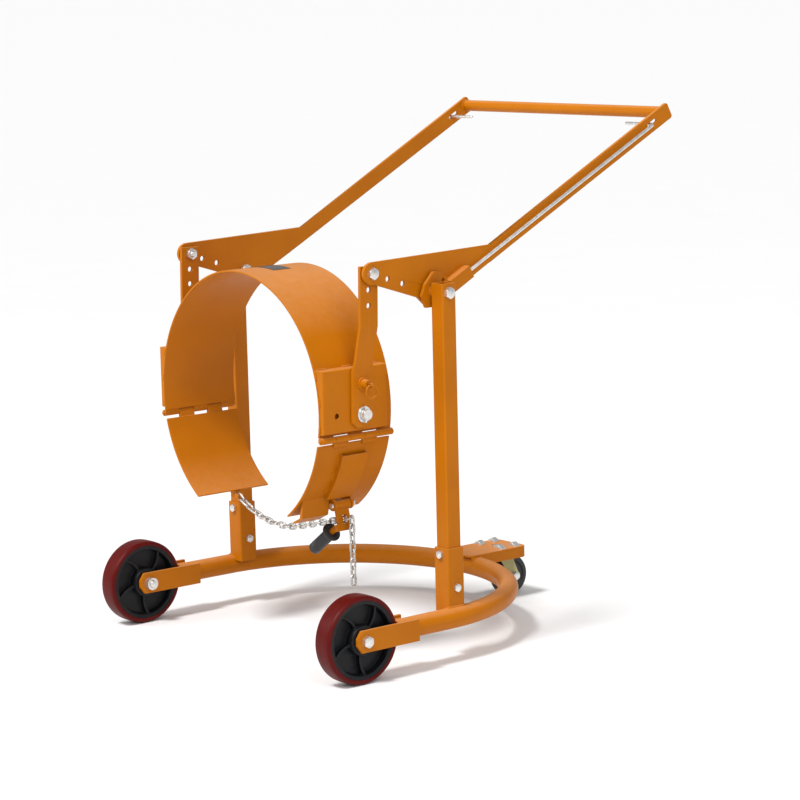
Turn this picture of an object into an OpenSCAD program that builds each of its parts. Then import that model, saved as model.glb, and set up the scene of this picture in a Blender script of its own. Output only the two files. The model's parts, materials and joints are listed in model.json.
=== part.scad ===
// Lever-lift drum carrier: a U-shaped tube base on two wheels and a swivel caster, two posts,
// a two-armed lift lever, and a tilting saddle that clamps a steel drum with a chain.
//
// Every length below is measured from the front wheel axle line: X is across the carrier,
// Y runs from the front axle (0) towards the handle, Z is up from the floor.
// from_axle() moves the whole carrier so that the origin is the middle of its footprint.

/* [Drum] */
// Inside radius of the clamped saddle, which is the radius of the drum
drum_r = 297; // [294:0.5:297]
// Height of the drum's axis above the floor, drum level
drum_axis_z = 585; // [580:1:588]
// Width of the saddle band along the drum
band_w = 205; // [190:1:210]
// Where the middle of the band lies along the drum
band_mid_y = 108; // [106:1:110]

/* [Base] */
// Outside diameter of the base tube
base_tube_d = 48.3; // [46:0.1:50]
// Wall of the base tube
base_tube_wall = 3.2; // [2.5:0.1:4]
// Distance of each base leg, and each front wheel, from the middle
leg_x = 418; // [416:1:420]
// Height of the base tube's centre line, the same as the front axle
base_z = 100; // [100:1:100]
// Where the base tube's straight legs turn into the rear bow
bow_start_y = 262; // [258:1:266]
// Where the base tube's front ends stop
leg_end_y = 108; // [106:1:112]

/* [Front wheels] */
// Outside diameter of a front wheel
wheel_d = 200; // [198:1:200]
// Width of a front wheel
wheel_w = 50; // [46:1:50]
// Thickness of the polyurethane tread
tread_t = 11; // [9:0.5:12]

/* [Posts] */
// Side of the square post tube
post_w = 40; // [38:1:40]
// Distance of each post's centre from the middle
post_x = 394; // [394:1:395]
// Where the posts stand behind the front axle
post_y = 293; // [292:1:294]
// Height of the open top of the posts
post_top_z = 860; // [856:1:866]
// Height of the top of the post sockets
socket_top_z = 259; // [250:1:270]

/* [Lever] */
// Height of the lever pivot
pivot_z = 839.5; // [838:0.5:841]
// Inside face of each lever plate, measured from the middle
lever_x = 347; // [346:1:348]
// Thickness of the lever plates
lever_t = 8; // [6:1:8]
// Slope of the arms above level, in degrees
arm_slope = 27.34; // [27:0.02:27.6]
// Width of each arm
arm_w = 40; // [38:1:40]
// How far each arm leans outwards after the knee, in degrees
arm_splay = 1.2; // [0:0.1:1.4]
// Outside diameter of the handle tube
handle_d = 28; // [25:0.1:28]

/* [Hangers] */
// Width of the hanger straps
strap_w = 50; // [46:1:52]
// Thickness of the hanger straps
strap_t = 8; // [6:1:8]

/* [Chain] */
// Wire diameter of the chain
chain_wire = 5; // [4.5:0.1:5]
// Inside length of one link
chain_pitch = 20; // [20:0.5:21]
// Links that hang below the tightener
tail_links = 8; // [5:1:9]

/* [Caster] */
// Diameter of the caster wheel
caster_d = 100; // [98:1:100]
// How far the caster wheel trails its swivel
caster_trail = 36; // [34:1:38]

/* [Hidden] */
$fn = 96;
eps = 0.01;
gap = 0.5;          // between neighbouring pieces that move past each other
run = 0.05;         // radial running clearance of a pin in its bore
slip = 0.3;         // radial clearance of a bolt in a drilled hole

LEFT = 1;           // the operator's left, +X
RIGHT = -1;

ORANGE = "darkorange";
ZINC = "silver";
IRON = "#26262a";
TREAD = "#7a2416";
RUBBER = "#17181a";
PASSIVATED = "#9a8a4a";

// Front axle and forks
axle_d = 16;
fork_t = 8;
fork_gap = 56;                       // between the two plates of one fork
fork_h = 50;
fork_rear_y = 152;
fork_front = 25;                     // ahead of the axle
hex_flats = 24;                      // across the flats of the big bolts
small_flats = 17;                    // across the flats of the M10 bolts
small_bolt_d = 10;
small_head = 7;
small_nut = 8;
big_nut = 13;                        // height of an M16 nut

// Front wheel hub
hub_rim_r = wheel_d / 2 - tread_t;
hub_boss_r = 35;

// Sockets
socket_w = 48;
socket_wall = 3.6;
socket_bottom_z = 112;
post_wall = 3;
post_bottom_z = 126;
upper_socket_bolt_z = 245;
lower_socket_bolt_z = 168;

// Lever pivot and lock sector
pivot_y = 290.4;
pivot_d = 16;
sector_x = 361;
sector_t = 8;
sector_r = 44;
sector_front = [[2, 50], [-29, 17], [-39, -8], [-27, -35]];    // the cut front of the plate
notch_turn = 46;                     // the second notch, and the lever's travel
rod_offset = 17;                     // how far the lock rod passes below the pivot
rod_d = 8;
rod_x = 365;
rod_out = rod_x - lever_x - lever_t; // out from the lever plate's outer face
rod_nose = 42.8;                     // from the foot of the perpendicular, along the rod
rod_rear = 763;
finger_in = 93;
guide_u = [46, 111.5];                // the guide box, along the rod
guide_v = [-15, 15];                 // and across it
guide_face_x = 373;
spring_room = [60, 109.5];

// Lever plate outline in the Y-Z plane
front_bolt_y = 122.2;
front_bolt_z = 893;
front_bolt_d = 14;
front_r = 25;
knee_y = 468;
handle_y = 1026.9;
handle_z = 1200.3;
arm_corner_r = 7;                    // the rounded corners of the arm's rear end
top_edge_slope = 1.8;

// Hanger link and trunnion
trunnion_y = 114;
trunnion_z = 577;
trunnion_d = 25;
strap_top_x = 335;
strap_low_x = 313;
joggle_top_z = 775;
joggle_low_z = 675;
strap_low_w = 60;
index_r = 68;
index_hole_d = 13;
adjust_hole_d = 13;                  // the spare holes near the front bolt
plunger_d = 8;
ring_out = 37;                       // from the link's inner face to the ring
ring_r = 15;
ring_wire = 3;
strap_corner = [15, 11];             // cut off the link's lower corners, along and up
link_lean = atan((trunnion_y - front_bolt_y) / (front_bolt_z - trunnion_z));

// Saddle
shell_t = 4;
hinge_z = 525;
hinge_x = 301;
knuckle_r = 7.5;
hinge_rod_d = 8;
knuckle_len = band_w / 5;
band_low_z = 533;
box_face_x = 312;
box_y = [7, 190];
box_z = [540, 683];
box_wall = 5;

// Wings
wing_start = 14;                     // degrees below the level of the drum axis
wing_end = 55;
rib_y = [72, 146];
rib_h = 12;
rib_t = 4;

// Tightener
tight_pivot_x = 225;
tight_pivot_z = 359;
tight_pivot_d = 12;
barrel_r = 11;
hook_y = 119;
hook_drop = 34;                      // from the pivot down to the chain
hook_t = 8;
slot_w = 8;
grip_angle = 36;                     // of the grip below level
grip_y = 101;                        // the grip lies beside the chain
grip_r = 14.5;
grip_len = 88;
grip_start = 20;                     // from the foot of the rod
grip_flange_r = 22;
rod_foot_x = 228;
rod_foot_z = 308;
lever_rod_d = 14;

// Chain
chain_r = drum_r + 9;
chain_gap = 0.4;
chain_step = chain_pitch - chain_gap;
link_r = (7 + chain_wire) / 2;       // middle of the wire to the middle of the link
hook_x = tight_pivot_x + hook_drop * 0.2;
hook_z = tight_pivot_z - hook_drop;
hook_dist = sqrt(pow(hook_x, 2) + pow(drum_axis_z - hook_z, 2));
chain_lead = atan2(hook_x, drum_axis_z - hook_z) - acos(chain_r / hook_dist);
chain_straight = sqrt(pow(hook_dist, 2) - pow(chain_r, 2));
last_near = 12;
last_far = 20;
chain_break = 2 * (chain_pitch / 2 + chain_wire) + gap - chain_step;

// Caster
bracket_top_z = 130;
bracket_half_w = 57;
bracket_t = 5;
bracket_y = [652, 836];
bracket_h = 28;
caster_y = 786;
caster_plate_t = 4;
caster_bolt_x = 38;
caster_bolt_y = 23;

bow_r = leg_x;
rear_y = handle_y + (handle_d / 2 - arm_corner_r) * cos(arm_slope)
    + (arm_w / 2 - arm_corner_r) * sin(arm_slope) + arm_corner_r;
mid_y = (rear_y - wheel_d / 2) / 2;

// ---------------------------------------------------------------- helpers

module from_axle() {
    translate([0, -mid_y, 0]) children();
}

// Draws its children on the left, or mirrored on the right.
module on_side(side) {
    if (side == LEFT) children();
    else mirror([1, 0, 0]) children();
}

module both_sides() {
    for (side = [LEFT, RIGHT]) on_side(side) children();
}

// A cylinder along +X from x to x + length.
module rod_x_axis(x, length, d, y, z) {
    translate([x, y, z]) rotate([0, 90, 0]) cylinder(h = length, d = d);
}

// A cylinder along +Y from y to y + length.
module rod_y_axis(y, length, d, x, z) {
    translate([x, y, z]) rotate([-90, 0, 0]) cylinder(h = length, d = d);
}

module hex_prism(flats, h) {
    cylinder(h = h, d = flats / cos(30), $fn = 6);
}

// A bolt along +Z: the head is below 0, the shank above.
module hex_bolt(d, length, flats, head) {
    union() {
        translate([0, 0, -head]) hex_prism(flats, head);
        translate([0, 0, -eps]) cylinder(h = length + eps, d = d);
    }
}

module hex_nut(d, flats, h) {
    difference() {
        hex_prism(flats, h);
        translate([0, 0, -1]) cylinder(h = h + 2, d = d + 2 * slip);
    }
}

module washer(d_out, d_in, h) {
    difference() {
        cylinder(h = h, d = d_out);
        translate([0, 0, -1]) cylinder(h = h + 2, d = d_in);
    }
}

module rounded_rect(w, h, r) {
    union() {
        square([w - 2 * r, h], center = true);
        square([w, h - 2 * r], center = true);
        for (x = [-1, 1], y = [-1, 1])
            translate([x * (w / 2 - r), y * (h / 2 - r)]) circle(r = r);
    }
}

module square_tube(w, wall, h, corner) {
    linear_extrude(h) difference() {
        rounded_rect(w, w, corner);
        rounded_rect(w - 2 * wall, w - 2 * wall, max(corner - wall, 0.5));
    }
}

// Extrudes a 2D outline drawn in (Y, Z) along +X from x.
module plate_yz(x, t) {
    translate([x, 0, 0]) rotate([90, 0, 90]) linear_extrude(t) children();
}

// Extrudes a 2D outline drawn in (X, Z) along +Y between two places.
module plate_xz(y_from, y_to) {
    translate([0, y_to, 0]) rotate([90, 0, 0]) linear_extrude(y_to - y_from) children();
}

// Turns a (radius, along-drum) profile about the drum's axis on the left side,
// from from_angle to to_angle below the level of the axis.
module about_drum(from_angle, to_angle) {
    translate([0, 0, drum_axis_z]) rotate([90, 0, 0]) mirror([0, 1, 0])
        rotate([0, 0, from_angle]) mirror([0, 0, 1])
            rotate_extrude(angle = to_angle - from_angle, $fn = 180) children();
}

// ---------------------------------------------------------------- base

module base_tube() {
    r = base_tube_d / 2;
    color(ORANGE) from_axle() translate([0, bow_start_y, base_z]) difference() {
        union() {
            rotate_extrude(angle = 180, $fn = 180) translate([bow_r, 0]) circle(r = r);
            both_sides() rod_y_axis(leg_end_y - bow_start_y, bow_start_y - leg_end_y + eps,
                                    base_tube_d, leg_x, 0);
        }
        rotate_extrude(angle = 180, $fn = 180)
            translate([bow_r, 0]) circle(r = r - base_tube_wall);
        both_sides() rod_y_axis(leg_end_y - bow_start_y - 1, bow_start_y - leg_end_y + 1 + 2 * eps,
                                base_tube_d - 2 * base_tube_wall, leg_x, 0);
    }
}

// The fork plate's front end has its two corners cut off, each further down than along.
module fork_outline() {
    half = fork_h / 2;
    along = 12;
    down = 17;
    translate([0, base_z]) difference() {
        polygon([[-fork_front, down - half], [along - fork_front, -half], [fork_rear_y, -half],
                 [fork_rear_y, half], [along - fork_front, half], [-fork_front, half - down]]);
        circle(d = axle_d + 2 * slip);
    }
}

// One fork plate and the packing strip that welds it to the side of the tube.
module fork_plate(face_x, packing_x, packing_t) {
    difference() {
        union() {
            plate_yz(face_x, fork_t) fork_outline();
            translate([packing_x, leg_end_y + 2, base_z - 17])
                cube([packing_t, fork_rear_y - leg_end_y - 4, 34]);
        }
        rod_y_axis(leg_end_y - 5, 200, base_tube_d, leg_x, base_z);
    }
}

module fork_plates(side) {
    packing = 9;
    color(ORANGE) from_axle() on_side(side) {
        fork_plate(leg_x + fork_gap / 2, leg_x + fork_gap / 2 - packing + eps, packing);
        fork_plate(leg_x - fork_gap / 2 - fork_t, leg_x - fork_gap / 2 - eps, packing);
    }
}

module axle_bolts() {
    head_x = leg_x + fork_gap / 2 + fork_t;
    nut_x = leg_x - fork_gap / 2 - fork_t;
    color(ZINC) from_axle() both_sides() {
        translate([head_x, 0, base_z]) rotate([0, -90, 0])
            hex_bolt(axle_d, head_x - nut_x + 22, hex_flats, 10);
        translate([nut_x - 3, 0, base_z]) rotate([0, 90, 0]) washer(30, axle_d + 2 * slip, 3);
        translate([nut_x - 3 - big_nut, 0, base_z]) rotate([0, 90, 0])
            hex_nut(axle_d, hex_flats, big_nut);
    }
}

module post_socket(side) {
    color(ORANGE) from_axle() on_side(side) difference() {
        translate([post_x, post_y, socket_bottom_z])
            square_tube(socket_w, socket_wall, socket_top_z - socket_bottom_z, 4);
        translate([0, bow_start_y, base_z])
            rotate_extrude(angle = 180, $fn = 180) translate([bow_r, 0]) circle(d = base_tube_d);
        rod_y_axis(post_y - 60, 120, small_bolt_d + 2 * slip, post_x, upper_socket_bolt_z);
        rod_x_axis(post_x - 60, 120, small_bolt_d + 2 * slip, post_y, lower_socket_bolt_z);
    }
}

module post(side) {
    color(ORANGE) from_axle() on_side(side) difference() {
        translate([post_x, post_y, post_bottom_z])
            square_tube(post_w, post_wall, post_top_z - post_bottom_z, 4);
        rod_y_axis(post_y - 60, 120, small_bolt_d + 2 * slip, post_x, upper_socket_bolt_z);
        rod_x_axis(post_x - 60, 120, small_bolt_d + 2 * slip, post_y, lower_socket_bolt_z);
        rod_x_axis(post_x - 60, 120, pivot_d + 2 * slip, pivot_y, pivot_z);
    }
}

module socket_bolts() {
    half = socket_w / 2;
    reach = socket_w + 12;
    color(ZINC) from_axle() both_sides() {
        translate([post_x, post_y - half, upper_socket_bolt_z]) rotate([-90, 0, 0])
            hex_bolt(small_bolt_d, reach, small_flats, small_head);
        translate([post_x, post_y + half, upper_socket_bolt_z]) rotate([-90, 0, 0])
            hex_nut(small_bolt_d, small_flats, small_nut);
        translate([post_x + half, post_y, lower_socket_bolt_z]) rotate([0, -90, 0])
            hex_bolt(small_bolt_d, reach, small_flats, small_head);
        translate([post_x - half, post_y, lower_socket_bolt_z]) rotate([0, -90, 0])
            hex_nut(small_bolt_d, small_flats, small_nut);
    }
}

// ---------------------------------------------------------------- lever lock

// Moves to the lock rod's own frame: origin at the foot of the perpendicular from the pivot,
// first axis along the rod towards the handle, second axis towards the pivot.
module rod_frame_2d(turn = 0) {
    translate([pivot_y, pivot_z]) rotate(turn + arm_slope) translate([0, -rod_offset]) children();
}

module lock_sector(side) {
    notch_w = rod_d + 1.5;
    color(ORANGE) from_axle() on_side(side) {
        difference() {
            union() {
                plate_yz(sector_x, sector_t) difference() {
                    translate([pivot_y, pivot_z]) intersection() {
                        circle(r = sector_r);
                        polygon(concat(sector_front, [[50, -35], [50, 50]]));
                    }
                    for (turn = [0, notch_turn])
                        rod_frame_2d(turn) translate([24, -notch_w / 2]) square([40, notch_w]);
                }
                rod_x_axis(sector_x + sector_t - eps, post_x - post_w / 2 - sector_x - sector_t + eps,
                           32, pivot_y, pivot_z);
            }
            rod_x_axis(sector_x - 5, 40, pivot_d + 2 * slip, pivot_y, pivot_z);
        }
    }
}

module pivot_bolts() {
    head_x = post_x + post_w / 2;
    plate_out = lever_x + lever_t;
    color(ZINC) from_axle() both_sides() {
        translate([head_x, pivot_y, pivot_z]) rotate([0, -90, 0])
            hex_bolt(pivot_d, head_x - lever_x + 15, hex_flats, 10);
        translate([plate_out + gap, pivot_y, pivot_z]) rotate([0, 90, 0])
            washer(26, pivot_d + 2 * slip, sector_x - plate_out - gap);
        translate([lever_x - gap - big_nut, pivot_y, pivot_z]) rotate([0, 90, 0])
            hex_nut(pivot_d, hex_flats, big_nut);
    }
}

// ---------------------------------------------------------------- caster

module caster_bracket() {
    length = bracket_y[1] - bracket_y[0];
    mid = (bracket_y[0] + bracket_y[1]) / 2;
    color(ORANGE) from_axle() difference() {
        translate([0, mid, bracket_top_z - bracket_h])
            linear_extrude(bracket_h) rounded_rect(2 * bracket_half_w, length, 16);
        translate([0, mid - bracket_t, bracket_top_z - bracket_h - 1])
            linear_extrude(bracket_h - bracket_t + 1)
                rounded_rect(2 * (bracket_half_w - bracket_t), length, 12);
        translate([0, bow_start_y, base_z])
            rotate_extrude(angle = 180, $fn = 180) translate([bow_r, 0]) circle(d = base_tube_d);
        for (x = [-1, 1], y = [-1, 1])
            translate([x * caster_bolt_x, caster_y + y * caster_bolt_y, 100])
                cylinder(h = 40, d = small_bolt_d + 2 * slip);
        translate([0, caster_y, 100]) cylinder(h = 40, d = 24);
    }
}

module caster_plate() {
    top = bracket_top_z - bracket_t;
    color(PASSIVATED) from_axle() translate([0, caster_y, top - caster_plate_t])
        linear_extrude(caster_plate_t) difference() {
            rounded_rect(102, 76, 6);
            for (x = [-1, 1], y = [-1, 1])
                translate([x * caster_bolt_x, y * caster_bolt_y])
                    circle(d = small_bolt_d + 2 * slip);
            circle(d = 12 + 2 * run);
        }
}

module caster_bolts() {
    color(ZINC) from_axle() for (x = [-1, 1], y = [-1, 1])
        translate([x * caster_bolt_x, caster_y + y * caster_bolt_y, 0]) {
            translate([0, 0, bracket_top_z]) rotate([180, 0, 0])
                hex_bolt(small_bolt_d, 20, small_flats, small_head);
            translate([0, 0, bracket_top_z - bracket_t - caster_plate_t - small_nut])
                hex_nut(small_bolt_d, small_flats, small_nut);
        }
}

// The swivel pin and the raceway under the fixed plate.
module caster_kingpin() {
    top = bracket_top_z - bracket_t - caster_plate_t;
    color(ZINC) from_axle() translate([0, caster_y, 0]) {
        difference() {
            translate([0, 0, top - 5]) cylinder(h = 5 - gap, d1 = 56, d2 = 48);
            translate([0, 0, top - 10]) cylinder(h = 20, d = 12 + 2 * slip);
        }
        translate([0, 0, top - 18]) cylinder(h = 18 + caster_plate_t + 3, d = 12);
        translate([0, 0, top - 19]) cylinder(h = 5, d = 20);
        translate([0, 0, top + caster_plate_t + gap]) cylinder(h = 4, d = 20);
    }
}

module caster_fork() {
    plate_low = bracket_top_z - bracket_t - caster_plate_t;
    crown_z = plate_low - 9;
    axle_z = caster_d / 2;
    leg_in = 23;
    leg_t = 3;
    color(PASSIVATED) from_axle() translate([0, caster_y, 0]) difference() {
        union() {
            translate([0, 0, crown_z]) cylinder(h = leg_t, r = leg_in + leg_t);
            both_sides() plate_yz(leg_in, leg_t) difference() {
                union() {
                    polygon([[-22, crown_z + leg_t], [22, crown_z + leg_t],
                             [caster_trail + 15, axle_z], [caster_trail - 15, axle_z - 4]]);
                    translate([caster_trail, axle_z]) circle(r = 15);
                }
                translate([caster_trail, axle_z]) circle(d = 12 + 2 * slip);
            }
            translate([-leg_in - leg_t, -22, crown_z])
                cube([2 * (leg_in + leg_t), 44, leg_t]);
        }
        translate([0, 0, crown_z - 1]) cylinder(h = 10, d = 12 + 2 * slip);
    }
}

module caster_axle() {
    color(ZINC) from_axle() translate([0, caster_y + caster_trail, caster_d / 2]) {
        translate([26, 0, 0]) rotate([0, -90, 0]) hex_bolt(12, 65, 19, 8);
        translate([-36, 0, 0]) rotate([0, 90, 0]) hex_nut(12, 19, 10);
    }
}

module caster_tyre() {
    r = caster_d / 2;
    w = 17;
    color(RUBBER) from_axle() translate([0, caster_y + caster_trail, r]) rotate([0, 90, 0])
        rotate_extrude() polygon([
            [10, -w - 3], [18, -w - 3], [18, -w + 4], [34, -w + 4], [37, -w], [r - 3, -w],
            [r, -w + 4], [r, w - 4], [r - 3, w], [37, w], [34, w - 4], [18, w - 4],
            [18, w + 3], [10, w + 3]]);
}

module caster_bush() {
    color(ZINC) from_axle() translate([-22, caster_y + caster_trail, caster_d / 2])
        rotate([0, 90, 0]) washer(20, 12 + 2 * run, 44);
}

// ---------------------------------------------------------------- front wheels

// One curved rib of the hub, from the boss to the rim, as an outline in the wheel's plane.
module hub_rib() {
    bend_r = 70;
    rib = 6;
    intersection() {
        difference() {
            circle(r = hub_rim_r - 6);
            circle(r = hub_boss_r - 3);
        }
        translate([hub_boss_r + 6, bend_r - 8]) difference() {
            circle(r = bend_r);
            circle(r = bend_r - rib);
        }
        translate([0, -20]) square([hub_rim_r, 60]);
    }
}

module wheel_hub(side) {
    half = wheel_w / 2;
    web = 5;
    ribs = 5;
    lip = 9;                         // the rim is thinner at its edges
    color(IRON) from_axle() on_side(side) translate([leg_x, 0, base_z]) rotate([0, 90, 0]) {
        rotate_extrude() polygon([
            [14, -half - 1.5], [hub_boss_r - 2, -half - 1.5], [hub_boss_r, -half + 4],
            [hub_boss_r, -web], [hub_rim_r - lip - 3, -web], [hub_rim_r - lip, -half + 3],
            [hub_rim_r, -half + 1], [hub_rim_r, half - 1], [hub_rim_r - lip, half - 3],
            [hub_rim_r - lip - 3, web], [hub_boss_r, web], [hub_boss_r, half - 4],
            [hub_boss_r - 2, half + 1.5], [14, half + 1.5]]);
        for (turn = [0 : 360 / ribs : 359]) rotate(turn)
            translate([0, 0, 7 - half]) linear_extrude(wheel_w - 14) hub_rib();
    }
}

module tyre(side) {
    half = wheel_w / 2;
    shoulder = 4;
    color(TREAD) from_axle() on_side(side) translate([leg_x, 0, base_z]) rotate([0, 90, 0])
        rotate_extrude() polygon([
            [hub_rim_r, -half + 1], [hub_rim_r + 3, -half], [wheel_d / 2 - shoulder, -half],
            [wheel_d / 2, -half + shoulder], [wheel_d / 2, half - shoulder],
            [wheel_d / 2 - shoulder, half], [hub_rim_r + 3, half], [hub_rim_r, half - 1]]);
}

module wheel_bush(side) {
    half = wheel_w / 2 + 2;
    color(ZINC) from_axle() on_side(side) translate([leg_x - half, 0, base_z]) rotate([0, 90, 0])
        washer(28, axle_d + 2 * run, 2 * half);
}

// ---------------------------------------------------------------- lever

// The plate's outline in (Y, Z): the front lobe, the deep cheek and the long arm.
module lever_outline() {
    c = cos(arm_slope);
    s = sin(arm_slope);
    half = arm_w / 2;
    last = handle_d / 2 - arm_corner_r;
    arm_top = [handle_y + last * c - half * s, handle_z + last * s + half * c];
    arm_low = [handle_y + last * c + half * s, handle_z + last * s - half * c];
    front_top = [front_bolt_y - front_r * sin(top_edge_slope),
                 front_bolt_z + front_r * cos(top_edge_slope)];
    knee = [knee_y, front_top[1] + (knee_y - front_top[0]) * tan(top_edge_slope)];
    heel_y = 329;
    heel = [heel_y, arm_low[1] - (arm_low[0] - heel_y) * tan(arm_slope)];
    difference() {
        union() {
            polygon([front_top, knee, arm_top, arm_low, heel, [305, 807], [290, 804],
                     [272, 809], [251, 828], [130, 867]]);
            translate([front_bolt_y, front_bolt_z]) circle(r = front_r);
            translate([handle_y, handle_z]) rotate(arm_slope) {
                translate([0, arm_corner_r - half])
                    square([last + arm_corner_r, 2 * (half - arm_corner_r)]);
                for (across = [arm_corner_r - half, half - arm_corner_r])
                    translate([last, across]) circle(r = arm_corner_r);
            }
        }
        translate([pivot_y, pivot_z]) circle(d = pivot_d + 2 * run);
        translate([front_bolt_y, front_bolt_z]) circle(d = front_bolt_d + 2 * slip);
        for (hole = [[166.5, 877], [209, 863]]) translate(hole) circle(d = adjust_hole_d);
        rod_frame_2d() translate([rod_rear - 5, 0]) {
            circle(d = rod_d + 1.5);
            translate([0, -(rod_d + 1.5) / 2]) square([24, rod_d + 1.5]);
            translate([24, 0]) circle(d = rod_d + 1.5);
        }
    }
}

// Leans its children outwards about an upright line at the knee, on the plate's inner face.
module splayed() {
    translate([lever_x, knee_y, 0]) rotate([0, 0, -arm_splay]) translate([-lever_x, -knee_y, 0])
        children();
}

module lever_plate(side) {
    color(ORANGE) from_axle() on_side(side) union() {
        plate_yz(lever_x, lever_t) intersection() {
            lever_outline();
            translate([0, 700]) square([knee_y, 600]);
        }
        splayed() plate_yz(lever_x, lever_t) intersection() {
            lever_outline();
            translate([knee_y - eps, 700]) square([700, 600]);
        }
    }
}

module handle_tube() {
    reach = lever_x + (handle_y - handle_d / 2 - knee_y) * tan(arm_splay) - slip;
    color(ORANGE) from_axle() difference() {
        rod_x_axis(-reach, 2 * reach, handle_d, handle_y, handle_z);
        rod_x_axis(-reach - 1, 2 * reach + 2, handle_d - 5.2, handle_y, handle_z);
    }
}

// Turns children drawn along X (rod direction) and Y (towards the pivot) into the rod's frame,
// with Z outwards from the lever plate's outer face.
module rod_frame() {
    translate([lever_x + lever_t, pivot_y, pivot_z]) rotate([90, 0, 90])
        rotate([0, 0, arm_slope]) translate([0, -rod_offset, 0]) children();
}

module rod_guide(side) {
    wall = 2;
    out = guide_face_x - lever_x - lever_t;
    length = guide_u[1] - guide_u[0];
    width = guide_v[1] - guide_v[0];
    color(ORANGE) from_axle() on_side(side) difference() {
        rod_frame() difference() {
            translate([guide_u[0], guide_v[0], 0]) cube([length, width, out]);
            translate([guide_u[0] + wall, guide_v[0] + wall, -1])
                cube([length - 2 * wall, width - 2 * wall, out - wall + 1]);
        }
        splayed() rod_frame() translate([guide_u[0] - 5, 0, rod_out]) rotate([0, 90, 0])
            cylinder(h = length + 10, d = rod_d + 2);
    }
}

module rod_spring(side) {
    coil = 1.5;
    turns = 11;
    room = spring_room[1] - spring_room[0] - coil - 1;
    color(ZINC) from_axle() on_side(side) splayed() rod_frame()
        translate([spring_room[0] + 1, 0, rod_out]) rotate([0, 90, 0])
            for (turn = [0 : turns - 1]) translate([0, 0, turn * room / (turns - 1)])
                rotate_extrude() translate([rod_d / 2 + 1.2 + coil / 2, coil / 2])
                    circle(d = coil, $fn = 16);
}

// The rod, its spring collar, and the finger that turns in under the handle.
module lock_rod(side) {
    collar = 3;
    color(ZINC) from_axle() on_side(side) splayed() rod_frame() {
        translate([rod_nose, 0, rod_out]) rotate([0, 90, 0])
            cylinder(h = rod_rear - rod_nose, d = rod_d);
        translate([rod_rear, 0, rod_out]) sphere(d = rod_d);
        translate([rod_rear, 0, rod_out - finger_in]) cylinder(h = finger_in, d = rod_d);
        translate([rod_rear, 0, rod_out - finger_in]) sphere(d = rod_d);
        translate([spring_room[0] - collar, 0, rod_out]) rotate([0, 90, 0])
            washer(13, rod_d, collar);
    }
}

module front_bolts() {
    color(ZINC) from_axle() both_sides() {
        translate([lever_x + lever_t, front_bolt_y, front_bolt_z]) rotate([0, -90, 0])
            hex_bolt(front_bolt_d, 35, hex_flats, 9);
        translate([strap_top_x + strap_t + gap, front_bolt_y, front_bolt_z]) rotate([0, 90, 0])
            washer(28, front_bolt_d + 2 * slip, lever_x - strap_top_x - strap_t - gap);
        translate([strap_top_x - gap - 11, front_bolt_y, front_bolt_z]) rotate([0, 90, 0])
            hex_nut(front_bolt_d, hex_flats, 11);
    }
}

// ---------------------------------------------------------------- hangers

module link(side) {
    top = front_bolt_z + 16 - trunnion_z;
    half_top = strap_w / 2;
    half_low = strap_low_w / 2;
    reach = sqrt(pow(front_bolt_z - trunnion_z, 2) + pow(front_bolt_y - trunnion_y, 2));
    neck = joggle_low_z - trunnion_z;
    color(ORANGE) from_axle() on_side(side)
        translate([0, trunnion_y, trunnion_z]) rotate([link_lean, 0, 0]) difference() {
            intersection() {
                plate_xz(-half_low, half_low) polygon([
                    [strap_top_x, top], [strap_top_x, joggle_top_z - trunnion_z],
                    [strap_low_x, neck], [strap_low_x, -half_low - 2],
                    [strap_low_x + strap_t, -half_low - 2], [strap_low_x + strap_t, neck],
                    [strap_top_x + strap_t, joggle_top_z - trunnion_z],
                    [strap_top_x + strap_t, top]]);
                plate_yz(strap_low_x - 10, 60) for (end = [0, 1]) mirror([end, 0])
                    polygon([[-eps, -half_low], [half_low - strap_corner[0], -half_low],
                             [half_low, strap_corner[1] - half_low], [half_low, neck - 8],
                             [half_top, neck + 22], [half_top, top], [-eps, top]]);
            }
            rod_x_axis(strap_low_x - 5, 40, trunnion_d + 2 * run, 0, 0);
            rod_x_axis(strap_low_x - 5, 60, front_bolt_d + 2 * run, 0, reach);
            for (drop = [37, 72])
                rod_x_axis(strap_low_x - 5, 60, adjust_hole_d, 0, reach - drop);
            rod_x_axis(strap_low_x - 5, 40, index_hole_d, 0, index_r);
        }
}

// Moves to the tilt lock plunger's axis on the left link, pointing outwards.
module at_plunger() {
    translate([0, trunnion_y, trunnion_z]) rotate([link_lean, 0, 0])
        translate([strap_low_x, 0, index_r]) rotate([0, 90, 0]) children();
}

module lock_housing() {
    color(ORANGE) from_axle() at_plunger() translate([0, 0, strap_t]) difference() {
        union() {
            cylinder(h = 4, d = 32);
            cylinder(h = 20, d = 22);
        }
        translate([0, 0, -1]) cylinder(h = 17, d = index_hole_d + 3);
        translate([0, 0, -1]) cylinder(h = 25, d = plunger_d + 2 * run);
    }
}

module tilt_lock_pin() {
    color(ORANGE) from_axle() at_plunger() difference() {
        union() {
            cylinder(h = strap_t - 1, d = index_hole_d - 1);
            cylinder(h = ring_out + 5, d = plunger_d);
        }
        translate([0, -10, ring_out]) rotate([-90, 0, 0]) cylinder(h = 20, d = ring_wire + 1.6);
    }
}

// The ring hangs from the cross hole in the end of the plunger.
module pull_ring() {
    color(ORANGE) from_axle() translate([0, trunnion_y, trunnion_z]) rotate([link_lean, 0, 0])
        translate([strap_low_x + ring_out, 0, index_r - ring_r]) rotate([0, 90, 0])
            rotate_extrude() translate([ring_r, 0]) circle(d = ring_wire, $fn = 32);
}

// ---------------------------------------------------------------- saddle

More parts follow.
